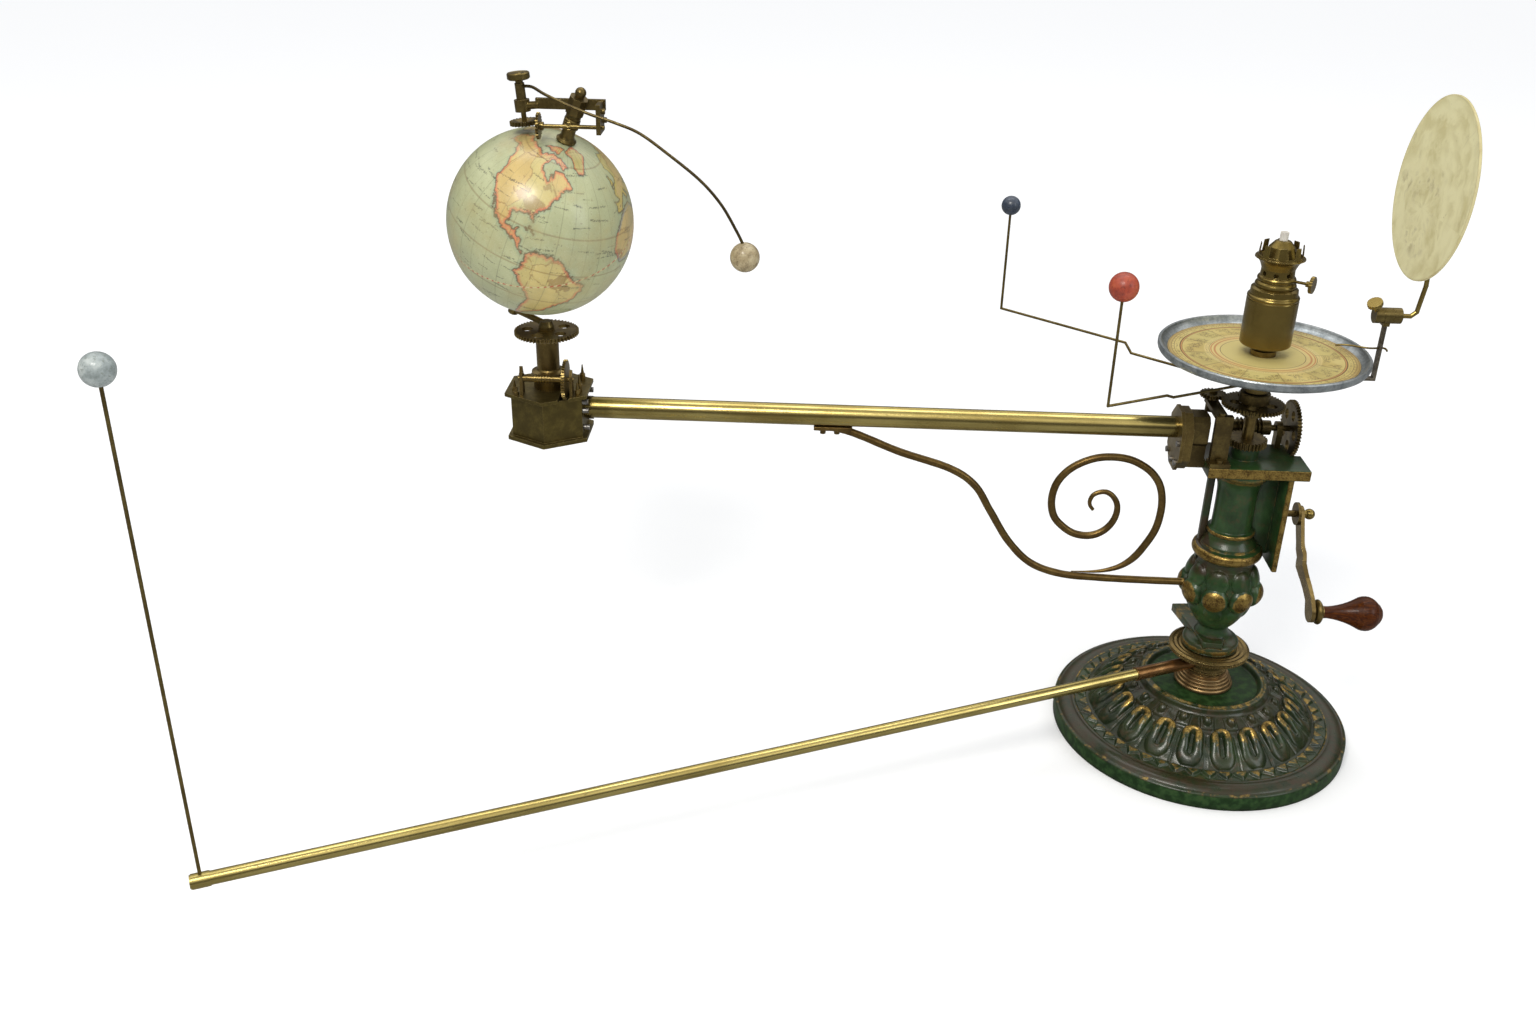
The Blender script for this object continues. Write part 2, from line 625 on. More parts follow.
def tube(path, radius, sides):
    """Round wire along a path; radius is one value or one per point."""
    path = np.array(path, float) * MM
    radii = np.ones(len(path)) * radius * MM
    tangents = np.gradient(path, axis=0)
    tangents /= np.linalg.norm(tangents, axis=1)[:, None]
    turn = np.linspace(0, TAU, sides, endpoint=False)
    normal = np.cross(tangents[0], np.array([0, 0, 1.0]))
    normal /= np.linalg.norm(normal)
    rings = []
    for point, tangent, size in zip(path, tangents, radii):
        normal = normal - tangent * (normal @ tangent)
        normal /= np.linalg.norm(normal)
        other = np.cross(tangent, normal)
        rings.append(point + size * (np.cos(turn)[:, None] * normal
                                     + np.sin(turn)[:, None] * other))
    return np.vstack(rings), capped_faces(len(path), sides)


def block(outline, bottom, top, bevel, segments=3):
    """Outline extruded along Z, with every edge rounded."""
    bm = bmesh.new()
    face = bm.faces.new([bm.verts.new((x * MM, y * MM, bottom * MM)) for x, y in outline])
    extruded = bmesh.ops.extrude_face_region(bm, geom=[face])
    moved = [v for v in extruded["geom"] if isinstance(v, bmesh.types.BMVert)]
    bmesh.ops.translate(bm, verts=moved, vec=(0, 0, (top - bottom) * MM))
    bmesh.ops.recalc_face_normals(bm, faces=bm.faces)
    bmesh.ops.bevel(bm, geom=list(bm.edges), offset=bevel * MM, segments=segments, profile=0.5,
                    affect="EDGES")
    bm.verts.index_update()
    coords = [tuple(v.co) for v in bm.verts]
    faces = [[v.index for v in f.verts] for f in bm.faces]
    bm.free()
    return coords, faces


def rect(x0, x1, y0, y1):
    return [(x0, y0), (x1, y0), (x1, y1), (x0, y1)]


def disc(radius, count, x=0.0):
    return [(x + radius * math.cos(t), radius * math.sin(t))
            for t in np.linspace(0, TAU, count, endpoint=False)]


def join(parts):
    coords, faces = [], []
    for part_coords, part_faces in parts:
        start = len(coords)
        coords += [tuple(c) for c in part_coords]
        faces += [[i + start for i in face] for face in part_faces]
    return coords, faces


# ------------------------------------------------------------ foot
# section from the bore over the top and back along the underside: radius, height (mm)
FOOT_PROFILE = [
    (5.02, 48.0), (30, 48.0), (47.6, 48.0), (48.6, 48.3), (49.2, 50.2), (49.9, 52.2),
    (51.0, 53.4), (52.2, 54.0), (53.2, 53.7), (53.9, 52.9), (54.6, 52.7), (55.4, 52.9),
    (56.3, 52.2), (56.9, 50.8), (57.6, 48.6), (59.0, 46.8), (61.5, 45.4), (66.0, 43.4),
    (72.0, 40.2), (76.0, 37.4), (84.0, 32.2), (92.0, 26.2), (98.0, 21.0), (100.6, 18.6),
    (103.0, 17.9), (113.2, 17.9), (113.9, 18.6), (115.2, 19.1), (116.2, 18.6), (116.8, 18.9),
    (119.0, 19.4), (122.6, 19.2), (126.4, 17.8), (128.6, 15.9), (129.3, 15.1), (130.4, 15.0),
    (131.3, 14.4), (131.9, 13.4), (132.0, 12.4), (132.0, 0.6), (131.5, 0.0), (5.02, 0.0)]
FOOT_STEPS = 1200
LOBE_PITCH = TAU / 20  # angle from one lobe to the next
RAY_PITCH = TAU / 48  # angle from one star ray to the next
LOBE_OUTER, LOBE_INNER = 91.0, 77.5  # radii where each lobe's loop starts to close (mm)
BEAD_CIRCLE = 66.2  # radius of the circle of beads (mm)


def foot_step(start, end):
    """Fine steps where the top carries ornament, coarse elsewhere (mm)."""
    ornate = 60 < (start[0] + end[0]) / 2 < 114 and start[1] > 5
    return 0.62 if ornate else 4.0


def foot_lobes(radius, angle, upper):
    """Looped half-round ribs, and the shallow channels between them."""
    from_middle = fold(angle, LOBE_PITCH)
    across = radius * from_middle
    half_loop = 0.225 * LOBE_PITCH
    rib = 0.165 * LOBE_PITCH * np.clip(radius, 74, 96)
    off = np.abs(np.abs(across) - half_loop * np.clip(radius, 74, 92))
    outer_end = np.sqrt((radius - LOBE_OUTER) ** 2 * 1.25 + across ** 2)
    off = np.where(radius > LOBE_OUTER, np.abs(outer_end - half_loop * LOBE_OUTER), off)
    inner_end = np.sqrt(((LOBE_INNER - radius) * 1.45) ** 2 + across ** 2)
    off = np.where(radius < LOBE_INNER, np.abs(inner_end - half_loop * LOBE_INNER), off)
    rib_height = np.interp(radius, [72, 78, 84, 92, 99], [4.8, 6.2, 5.9, 3.8, 2.8])
    zone = (radius > 70) & (radius < 100.4) & upper
    lobes = np.where(zone, rib_height * np.sqrt(np.clip(1 - (off / rib) ** 2, 0, 1)), 0)
    half_pitch = LOBE_PITCH / 2
    to_border = np.abs(np.abs(from_middle) / half_pitch - 1.0) * half_pitch * radius
    channels = np.where(zone & (radius > 75), -0.9 * np.exp(-(to_border / 1.1) ** 2), 0)
    return lobes, channels


def foot_beads(radius, angle, upper):
    """Square pads between the lobes, and the round bead on each."""
    across = radius * ((angle % LOBE_PITCH) - LOBE_PITCH / 2)
    outward = radius - BEAD_CIRCLE
    reach = np.maximum(np.abs(across * 0.95), np.abs(outward))
    zone = (radius > 58) & upper
    pads = np.where(zone & (radius < 74), 2.2 / (1 + np.exp((reach - 5.6) / 0.30)), 0)
    distance = np.sqrt(across ** 2 + outward ** 2)
    beads = np.where(zone, 4.6 * np.sqrt(np.clip(1 - (distance / 4.0) ** 2, 0, 1)), 0)
    return pads, beads


def foot_rays(radius, angle, upper):
    """Star rays pointing outward from a low rim."""
    across = radius * fold(angle, RAY_PITCH)
    taper = np.clip((112.9 - radius) / (112.9 - 104.6), 0, 1)
    half_width = RAY_PITCH / 2 * radius * taper
    rays = np.where((radius > 103.2) & (radius < 113.0) & upper,
                    np.clip((half_width - np.abs(across)) / 2.0, 0, 1) * 2.7, 0)
    rim = np.where((radius > 103.0) & (radius < 105.2) & upper, 0.9, 0)
    return rays, rim


def build_foot():
    profile = subdivide(FOOT_PROFILE, foot_step)
    radius, angle, height = turned_grid(profile, FOOT_STEPS)
    upper = height > 5
    lobes, channels = foot_lobes(radius, angle, upper)
    pads, beads = foot_beads(radius, angle, upper)
    rays, rim = foot_rays(radius, angle, upper)
    height += lobes + channels + pads + beads + np.maximum(rays, rim)
    # slight unevenness of the casting
    waves = 0.18 * np.sin(angle * 7 + radius * 0.3) + 0.12 * np.sin(angle * 23 - radius * 0.7)
    height += np.where((radius > 57) & (radius < 114) & upper, waves, 0)
    raised = np.clip(lobes / 5.2, 0, 1) ** 2 * np.clip((97.0 - radius) / 19.0, 0, 1) * 0.78
    raised = np.maximum(raised, np.clip((rays - 1.9) / 0.8, 0, 1) * 0.62)
    raised = np.maximum(raised, np.clip((beads - 3.2) / 1.0, 0, 1) * 0.45)
    foot = new_object("foot_casting", polar_coords(radius, angle, height),
                      grid_faces(len(profile), FOOT_STEPS, closed=True), base_green)
    set_values(foot, "raised", raised)
    fit(foot, "foot", "base_casting")


build_foot()

# ------------------------------------------------------------ bracket wires and moon bow
WIRE_RADIUS = 3.3
# centre line of the strut in the plane y = 0: x, z (mm)
STRUT_PATH = [
    (-362, 289.0), (-352, 288.6), (-340, 286.6), (-324.5, 281), (-293.6, 268.5),
    (-249.5, 254.4), (-226.6, 238.9), (-211.4, 215.1), (-192.9, 186), (-171.3, 164.7),
    (-143.4, 154.6), (-107.4, 152), (-70, 151.2), (-33, 151)]
# outline of the flat plate at the strut's far end: x, y (mm)
STRUT_PLATE = [(-369, -5.2), (-366, -5.5), (-339, -5.5), (-336, -3.4), (-336, 3.4), (-339, 5.5),
               (-366, 5.5), (-369, 5.2)]
# centre line of the scroll in the plane y = 0: x, z (mm)
SCROLL_PATH = [
    (-134, 157.4), (-118, 157.6), (-104, 159.6), (-90.9, 164.5), (-80.4, 173.4), (-72.4, 186),
    (-65.6, 201), (-63, 216.2), (-63.4, 231.6), (-67.1, 245.2), (-74.2, 255.6), (-83.5, 263),
    (-95.6, 268.6), (-109.2, 270.6), (-123.4, 269.4), (-136.3, 264.5), (-147, 257),
    (-154.9, 246.5), (-158.4, 234.6), (-158.3, 222.2), (-154.6, 211), (-147, 202.6),
    (-137.4, 196.2), (-126.5, 193.8), (-117, 195.4), (-109, 200.5), (-103.4, 208.4),
    (-100.9, 217.6), (-101.8, 226.2), (-106, 233), (-111.6, 236.8), (-117.6, 236.8),
    (-123.2, 233.8), (-125.5, 228.4), (-124.8, 223.6), (-121.8, 219.5)]
# centre line of the moon's wire: x, y, z (mm)
MOON_PATH = [
    (-601.4, -13.2, 570.9), (-593, -20, 571.4), (-582, -31.5, 568.6), (-566, -39, 563.4),
    (-546, -44, 557), (-526, -46.6, 551.4), (-507.8, -48, 544.4), (-486, -51, 530),
    (-462.1, -54, 512), (-446, -54, 494), (-434.5, -52.5, 474), (-427.5, -50, 459)]


def flat_curve(points, per):
    return catmull([(x, 0.0, z) for x, z in points], per)


def build_strut():
    path = flat_curve(STRUT_PATH, 14)
    index = np.arange(len(path))
    radii = np.interp(index, [0, 25], [2.0, WIRE_RADIUS])
    radii *= 1 + 0.012 * np.sin(index * 0.7)
    parts = [tube(path, radii, 20), block(STRUT_PLATE, 287.9, 291.4, 0.7)]
    # two round studs under the plate
    parts += [block(disc(2.5, 24, x), 283.6, 288.2, 0.4, 2) for x in (-361, -349)]
    strut = new_object("arm_strut", *join(parts), metals["strut_bronze"])
    fit(strut, "column", "bracket_strut")


def build_scroll():
    path = flat_curve(SCROLL_PATH, 8)
    count = len(path)
    radii = np.interp(np.arange(count), [0, 33, count - 90, count - 1],
                      [0.4, WIRE_RADIUS, WIRE_RADIUS, 1.5])
    scroll = new_object("arm_scroll", *tube(path, radii, 20), metals["strut_bronze"])
    fit(scroll, "column", "bracket_scroll")


def build_moon_bow():
    wire = tube(catmull(MOON_PATH, 12), 1.2, 14)
    bow = new_object("moon_bow", *wire, metals["moon_wire_brass"])
    fit(bow, "moon_carriage", "moon_wire")


build_strut()
build_scroll()
build_moon_bow()

# ------------------------------------------------------------ column
# turned section from the bottom up: radius, height (mm)
COLUMN_PROFILE = [
    (5.05, 88.0), (23.0, 88.0), (23.9, 88.6), (24.7, 90.6), (24.9, 92.6), (24.4, 94.8),
    (23.4, 96.2), (21.6, 97.2), (18.6, 98.4), (15.8, 101.0), (14.2, 104.2), (13.5, 107.4),
    (13.6, 110.0), (14.3, 111.3), (15.2, 112.2), (17.2, 114.2), (20.6, 119.2), (23.6, 125.0),
    (25.6, 131.0), (26.5, 139.0), (26.8, 149.0), (26.5, 160.0), (25.6, 168.0), (25.0, 172.6),
    (24.3, 174.4), (24.0, 177.0), (24.4, 180.0), (25.8, 181.4), (28.0, 182.2), (29.6, 183.8),
    (30.3, 186.4), (29.7, 189.2), (28.0, 191.0), (25.8, 191.8), (24.4, 192.1), (24.0, 193.2),
    (23.9, 194.6), (22.6, 196.6), (20.6, 199.6), (19.6, 202.0), (19.4, 203.2), (20.4, 204.2),
    (20.9, 205.6), (20.4, 207.0), (19.0, 207.9), (17.9, 208.8), (17.4, 211.4), (17.1, 218.0),
    (17.0, 232.0), (17.3, 244.0), (18.2, 250.0), (20.4, 255.4), (23.4, 259.4), (26.2, 262.0),
    (26.9, 264.0), (27.0, 266.8)]
COLUMN_STEPS = 384
DOME_PITCH = math.pi / 4
# outlines in x, y (mm)
TAB_OUTLINE = [(4.0, -24.0), (16.0, 4.0), (4.0, 50.0), (-26.0, 47.0), (-12.5, -22.0)]
PLATFORM_OUTLINE = [(-36, -28), (50, -28), (50, 5.5), (41.5, 5.5), (41.5, 29), (-36, 29)]
WEB_TOP = 266.6  # the webs run just into the platform


def build_column():
    profile = subdivide(catmull(COLUMN_PROFILE, 5), lambda start, end: 0.8)
    radius, angle, height = turned_grid(profile, COLUMN_STEPS)
    from_middle = fold(angle - math.radians(22.5), DOME_PITCH)
    belly = (height > 114) & (height < 176)

    def dome(half_angle, centre, half_height):
        squared = (from_middle / half_angle) ** 2
        return np.sqrt(np.clip(1 - squared - ((height - centre) / half_height) ** 2, 0, 1))

    # eight squashed domes, and above each a soft shoulder running into the neck
    domes = dome(0.385, 148.0, 12.8)
    shoulders = dome(0.37, 164.5, 10.5)
    feet = dome(0.30, 131.0, 8.5)
    swell = radius + np.where(belly, 3.4 * np.exp(-((height - 150) / 15.0) ** 2), 0)
    swell += np.maximum(np.maximum(7.3 * domes, 4.2 * shoulders), 1.6 * feet)
    radius = np.where(belly, swell, radius)
    raised = np.clip(domes * 1.12, 0, 1) * belly
    shaft = polar_coords(radius, angle, height), capped_faces(len(profile), COLUMN_STEPS)
    parts = [
        shaft,
        block(PLATFORM_OUTLINE, 266.0, 275.5, 1.1),
        block(disc(11.5, 48), 275.0, 286.9, 0.4, 2),  # boss on the platform
        block(rect(33.0, 37.5, -27, 33), 178, WEB_TOP, 0.9),  # web across the +X side
        block(rect(12, 33.6, -3, 3), 184, WEB_TOP, 0.8),  # web from the shaft to it
        block(rect(-25.6, -19.6, 2, 8), 166, WEB_TOP, 0.8),  # stay on the -X side
        block(TAB_OUTLINE, 94.0, 101.5, 0.9),
    ]
    column = new_object("column_body", *join(parts), cast_green)
    column.data.set_sharp_from_angle(angle=math.radians(48))
    set_values(column, "raised", raised)
    set_values(column, "turned", np.ones(raised.size))
    fit(column, "column", "column_casting")


build_column()

# ------------------------------------------------------------ globe
# coarse outlines of the lands: longitude, latitude (degrees)
LANDS = [
    [(-168, 66), (-156, 71), (-128, 70), (-110, 68), (-95, 72), (-82, 70), (-94, 60), (-88, 56),
     (-80, 52), (-78, 60), (-70, 61), (-62, 57), (-56, 52), (-66, 48), (-64, 45), (-70, 42),
     (-75, 37), (-81, 31), (-80, 26), (-84, 30), (-90, 29), (-97, 27), (-97, 20), (-91, 18),
     (-87, 21), (-88, 16), (-83, 14), (-82, 9), (-78, 8), (-81, 7), (-86, 11), (-94, 15),
     (-105, 20), (-110, 26), (-114, 31), (-110, 23), (-117, 32), (-124, 40), (-124, 48),
     (-134, 57), (-146, 60), (-158, 57), (-164, 60)],
    [(-78, 8), (-72, 12), (-62, 10), (-52, 5), (-50, 0), (-36, -6), (-39, -14), (-42, -22),
     (-49, -27), (-54, -34), (-58, -38), (-65, -42), (-67, -50), (-70, -54), (-75, -50),
     (-73, -40), (-71, -30), (-70, -18), (-77, -12), (-81, -5), (-79, 1)],
    [(-52, 83), (-25, 82), (-20, 74), (-25, 70), (-42, 60), (-52, 66), (-56, 74), (-70, 78)],
    [(-17, 15), (-16, 24), (-9, 33), (-5, 36), (10, 37), (20, 32), (32, 31), (36, 24), (43, 12),
     (51, 12), (45, 2), (40, -5), (40, -16), (33, -26), (26, -34), (18, -34), (13, -22),
     (13, -8), (9, 1), (8, 5), (-4, 5), (-10, 6)],
    [(-9, 37), (-9, 43), (-1, 44), (-4, 48), (2, 51), (8, 54), (10, 59), (5, 62), (14, 68),
     (27, 71), (40, 67), (45, 68), (60, 69), (75, 73), (100, 77), (125, 73), (150, 71),
     (178, 68), (178, 64), (162, 58), (156, 51), (158, 62), (142, 59), (135, 53), (140, 47),
     (131, 43), (127, 37), (122, 40), (119, 35), (122, 30), (115, 22), (108, 20), (108, 12),
     (103, 10), (103, 2), (98, 9), (95, 17), (88, 22), (80, 15), (77, 8), (73, 18), (67, 25),
     (57, 26), (60, 22), (52, 16), (44, 13), (36, 27), (35, 36), (27, 37), (22, 37), (19, 42),
     (12, 45), (18, 40), (12, 38), (9, 44), (3, 43), (-2, 37)],
    [(114, -22), (122, -18), (130, -12), (136, -12), (141, -17), (146, -19), (153, -28),
     (150, -37), (141, -38), (131, -32), (116, -35)],
    [(-180, -72), (-120, -74), (-60, -66), (0, -70), (60, -67), (120, -67), (180, -72),
     (180, -90), (-180, -90)],
    [(-5, 50), (1, 51), (0, 54), (-3, 58), (-6, 57), (-4, 54)],
    [(130, 32), (136, 34), (141, 37), (142, 44), (139, 38), (133, 35)],
    [(44, -25), (48, -25), (50, -15), (45, -16)],
    [(95, 5), (104, -5), (114, -8), (106, -7), (100, 1)],
    [(110, 2), (117, 6), (118, -3), (111, -3)],
    [(131, -1), (141, -3), (150, -10), (140, -8)],
    [(173, -35), (178, -38), (170, -46), (167, -46)],
    [(-85, 22), (-75, 20), (-77, 21), (-82, 23)],
    [(-120, 74), (-85, 74), (-70, 80), (-90, 82), (-115, 78)],
    [(-88, 72), (-72, 70), (-64, 65), (-72, 63), (-84, 68)],
]
COUNTRY_COLORS = np.array([
    (0.53, 0.41, 0.14), (0.55, 0.44, 0.16), (0.50, 0.41, 0.15), (0.54, 0.39, 0.14),
    (0.52, 0.43, 0.17), (0.56, 0.42, 0.17), (0.49, 0.42, 0.16)])
SEA_COLOR = np.array((0.405, 0.425, 0.240))
GLOBE_ROWS, GLOBE_COLUMNS = 360, 720
NEIGHBOURS = ((0, 1), (0, -1), (1, 1), (1, -1))  # axis and shift of the four neighbours


def inside(lon, lat, outline):
    """Even-odd test of every grid point against an outline."""
    crossed = np.zeros(lon.shape, bool)
    for (x1, y1), (x2, y2) in zip(outline, outline[1:] + outline[:1]):
        if y1 == y2:
            continue
        level = (lat > min(y1, y2)) & (lat <= max(y1, y2))
        crossed ^= level & (lon < (x2 - x1) * (lat - y1) / (y2 - y1) + x1)
    return crossed


def on_line(value, pitch, half_width):
    return np.abs(fold(value, pitch)) < half_width


class GlobeMap:
    """The printed map as a colour per grid point. Its steps share one random stream."""

    def __init__(self):
        self.rng = np.random.default_rng(7)
        lat = np.linspace(-math.pi / 2 + 0.0045, math.pi / 2 - 0.0045, GLOBE_ROWS)
        lon = np.linspace(-math.pi, math.pi, GLOBE_COLUMNS, endpoint=False)
        lat, self.lon_radians = np.meshgrid(lat, lon, indexing="ij")
        self.cos_lat = np.cos(lat)
        self.xyz = (self.cos_lat * np.cos(self.lon_radians),
                    self.cos_lat * np.sin(self.lon_radians), np.sin(lat))
        self.points = np.stack(self.xyz, -1).reshape(-1, 3)
        self.lat, self.lon = np.degrees(lat), np.degrees(self.lon_radians)

    def waves(self, frequency, strength):
        """Smooth random field over the sphere."""
        x, y, z = self.xyz
        field = np.zeros_like(self.lat)
        for i in range(5):
            a = self.rng.normal(size=3) * frequency * (1.8 ** i)
            phase = self.rng.uniform(0, 6)
            field += np.sin(a[0] * x + a[1] * y + a[2] * z + phase) * strength / (1.6 ** i)
        return field

    def land(self):
        lat = self.lat + self.waves(7, 1.1) + self.waves(45, 0.55)
        shift = self.waves(7, 1.1) + self.waves(45, 0.55)
        lon = self.lon + shift / np.maximum(0.3, self.cos_lat)
        land = np.zeros(lat.shape, bool)
        for outline in LANDS:
            land |= inside(lon, lat, outline)
        lakes = ((lon - 51) / 3.2) ** 2 + ((lat - 42) / 5.0) ** 2 < 1
        lakes |= ((lon - 34) / 6) ** 2 + ((lat - 43.5) / 2) ** 2 < 1
        return land & ~lakes

    def countries(self):
        """Nearest of 110 random seeds for each point, and the lines between their cells."""
        shape = self.lat.shape
        seeds = self.rng.normal(size=(110, 3))
        seeds /= np.linalg.norm(seeds, axis=1)[:, None]
        warp = np.stack([self.waves(9, 0.02) for _ in range(3)], -1).reshape(-1, 3)
        nearness = (self.points + warp) @ seeds.T
        order = np.argpartition(-nearness, 1, axis=1)[:, :2]
        best = np.take_along_axis(nearness, order, 1)
        cell = order[np.arange(len(order)), np.argmax(best, 1)].reshape(shape)
        apart = np.arccos(np.clip(best, -1, 1))
        between = np.arccos(np.clip((seeds @ seeds.T)[order[:, 0], order[:, 1]], -1, 1))
        gap = np.abs(apart[:, 0] - apart[:, 1]) * (apart[:, 0] + apart[:, 1]) / (2 * between)
        return cell, (gap < 0.0055).reshape(shape)

    def shore_depth(self, land):
        """Fades from 1 at the coast to 0 five grid points inland."""
        reached = ~land
        depth = np.zeros(land.shape)
        for i in range(5):
            grown = reached.copy()
            for axis, shift in NEIGHBOURS:
                grown |= np.roll(reached, shift, axis=axis)
            depth = np.where(grown & ~reached & (depth == 0), 1.0 - i / 5.5, depth)
            reached = grown
        return depth[..., None]

    def lettering(self):
        """Broken strokes that stand for place names."""
        rng = self.rng
        strokes = np.zeros(self.lat.shape, bool)
        for _ in range(210):
            middle_lat = math.degrees(math.asin(rng.uniform(-0.85, 0.97)))
            middle_lon = rng.uniform(-180, 180)
            half_length = rng.uniform(2.0, 7.0)
            half_height = rng.choice([0.3, 0.3, 0.55])
            along = (self.lon - middle_lon) * max(0.25, math.cos(math.radians(middle_lat)))
            row = middle_lat + 0.22 * along * rng.uniform(-1, 1)
            strokes |= ((np.abs(along) < half_length) & (np.abs(self.lat - row) < half_height)
                        & (rng.random(self.lat.shape) < 0.62))
        return strokes

    def paint(self, mask, color):
        self.rgb = np.where(mask[..., None], color, self.rgb)

    def draw(self):
        lat, lon = self.lat, self.lon
        land = self.land()
        cell, border = self.countries()
        self.rgb = np.where(land[..., None], COUNTRY_COLORS[(cell * 5 + 3) % 7], SEA_COLOR)
        coast = np.zeros_like(land)
        for axis, shift in NEIGHBOURS:
            coast |= land != np.roll(land, shift, axis=axis)
        self.paint(border & land, self.rgb * 0.55 + np.array((0.06, 0.01, 0.0)))
        # hand tint along the shores: red in the west, blue in the south, yellow elsewhere
        depth = self.shore_depth(land)
        tint = np.where(((lat < 36) & (lon < 55))[..., None], np.array((0.16, 0.26, 0.34)),
                        np.array((0.50, 0.42, 0.06)))
        tint = np.where((lon < -12)[..., None], np.array((0.60, 0.075, 0.055)), tint)
        self.rgb = self.rgb * (1 - 0.8 * depth) + tint * 0.8 * depth
        near = coast.copy()
        for axis, shift in NEIGHBOURS * 2:
            near |= np.roll(near, shift, axis=axis)
        self.paint(near & ~land, self.rgb * 0.86 + np.array((0.0, 0.03, 0.03)))
        self.paint(coast, np.array((0.16, 0.13, 0.07)))
        meridians = on_line(lon, 10, 0.2 / np.maximum(0.25, self.cos_lat)) & (np.abs(lat) < 80)
        self.paint(on_line(lat, 10, 0.2) | meridians, self.rgb * 0.80)
        self.paint(self.lettering(), self.rgb * 0.36)
        # equator, tropics and polar circles
        heavy = np.abs(lat) < 0.55
        for circle in (GLOBE_TILT, 90 - GLOBE_TILT):
            heavy |= np.abs(np.abs(lat) - circle) < 0.3
        self.paint(heavy, self.rgb * 0.62 + np.array((0.05, 0.015, 0.0)))
        ecliptic = np.abs(lat - GLOBE_TILT * np.sin(self.lon_radians + 0.6)) < 0.45
        dashes = np.where(on_line(lon, 4, 1)[..., None], np.array((0.45, 0.08, 0.04)),
                          np.array((0.62, 0.52, 0.28)))
        self.paint(ecliptic, dashes)
        self.paint(on_line(lon, 30, 0.13), self.rgb * 0.82)  # seams between the gores
        age = 1 + 0.10 * self.waves(4, 0.8)
        return np.clip(self.rgb * age[..., None], 0, 1)


def globe_print():
    m = Material("globe_print")
    broad = m.noise(scale=30, detail=5, rough=0.6)
    fine = m.noise(scale=420, detail=3, rough=0.6)
    dust = m.noise(scale=1500, detail=2, rough=0.5)
    color = m.mix(broad.rise(low=0.44, high=0.70) * 0.55, m.attribute("print", "Color"),
                  (0.38, 0.33, 0.15))
    color = m.mix(fine.rise(low=0.60, high=0.70) * 0.35, color, (0.16, 0.12, 0.06))
    color = m.mix(dust.rise(low=0.60, high=0.66) * 0.22, color, (0.70, 0.68, 0.52))
    m.set(color=color, rough=m.mix_value(broad, 0.26, 0.42), coat=0.35, coat_rough=0.16)
    m.bump(fine, strength=0.10, distance=0.0005)
    return m.data


def globe_axes():
    """Axes of the map on the tilted ball, turned so longitude -74 faces the camera."""
    tilt, heading = math.radians(GLOBE_TILT), math.radians(GLOBE_HEADING)
    pole = Vector((math.sin(tilt) * math.cos(heading), math.sin(tilt) * math.sin(heading),
                   math.cos(tilt)))
    view = CAMERA_PLACE - GLOBE_CENTRE
    facing = (view - pole * view.dot(pole)).normalized()
    side = pole.cross(facing)
    facing_lon = math.radians(-74)
    prime = facing * math.cos(-facing_lon) + side * math.sin(-facing_lon)
    return np.array([prime, pole.cross(prime), pole])


def build_globe():
    globe_map = GlobeMap()
    rgb = globe_map.draw()
    coords = (globe_map.points * GLOBE_RADIUS) @ globe_axes() + np.array(GLOBE_CENTRE)
    globe = new_object("globe_ball", coords, capped_faces(GLOBE_ROWS, GLOBE_COLUMNS),
                       globe_print())
    colors = globe.data.color_attributes.new("print", "FLOAT_COLOR", "POINT")
    rgba = np.concatenate([rgb, np.ones(rgb.shape[:2] + (1,))], -1)
    colors.data.foreach_set("color", rgba.reshape(-1).astype(np.float32))
    fit(globe, "globe", "globe")


build_globe()

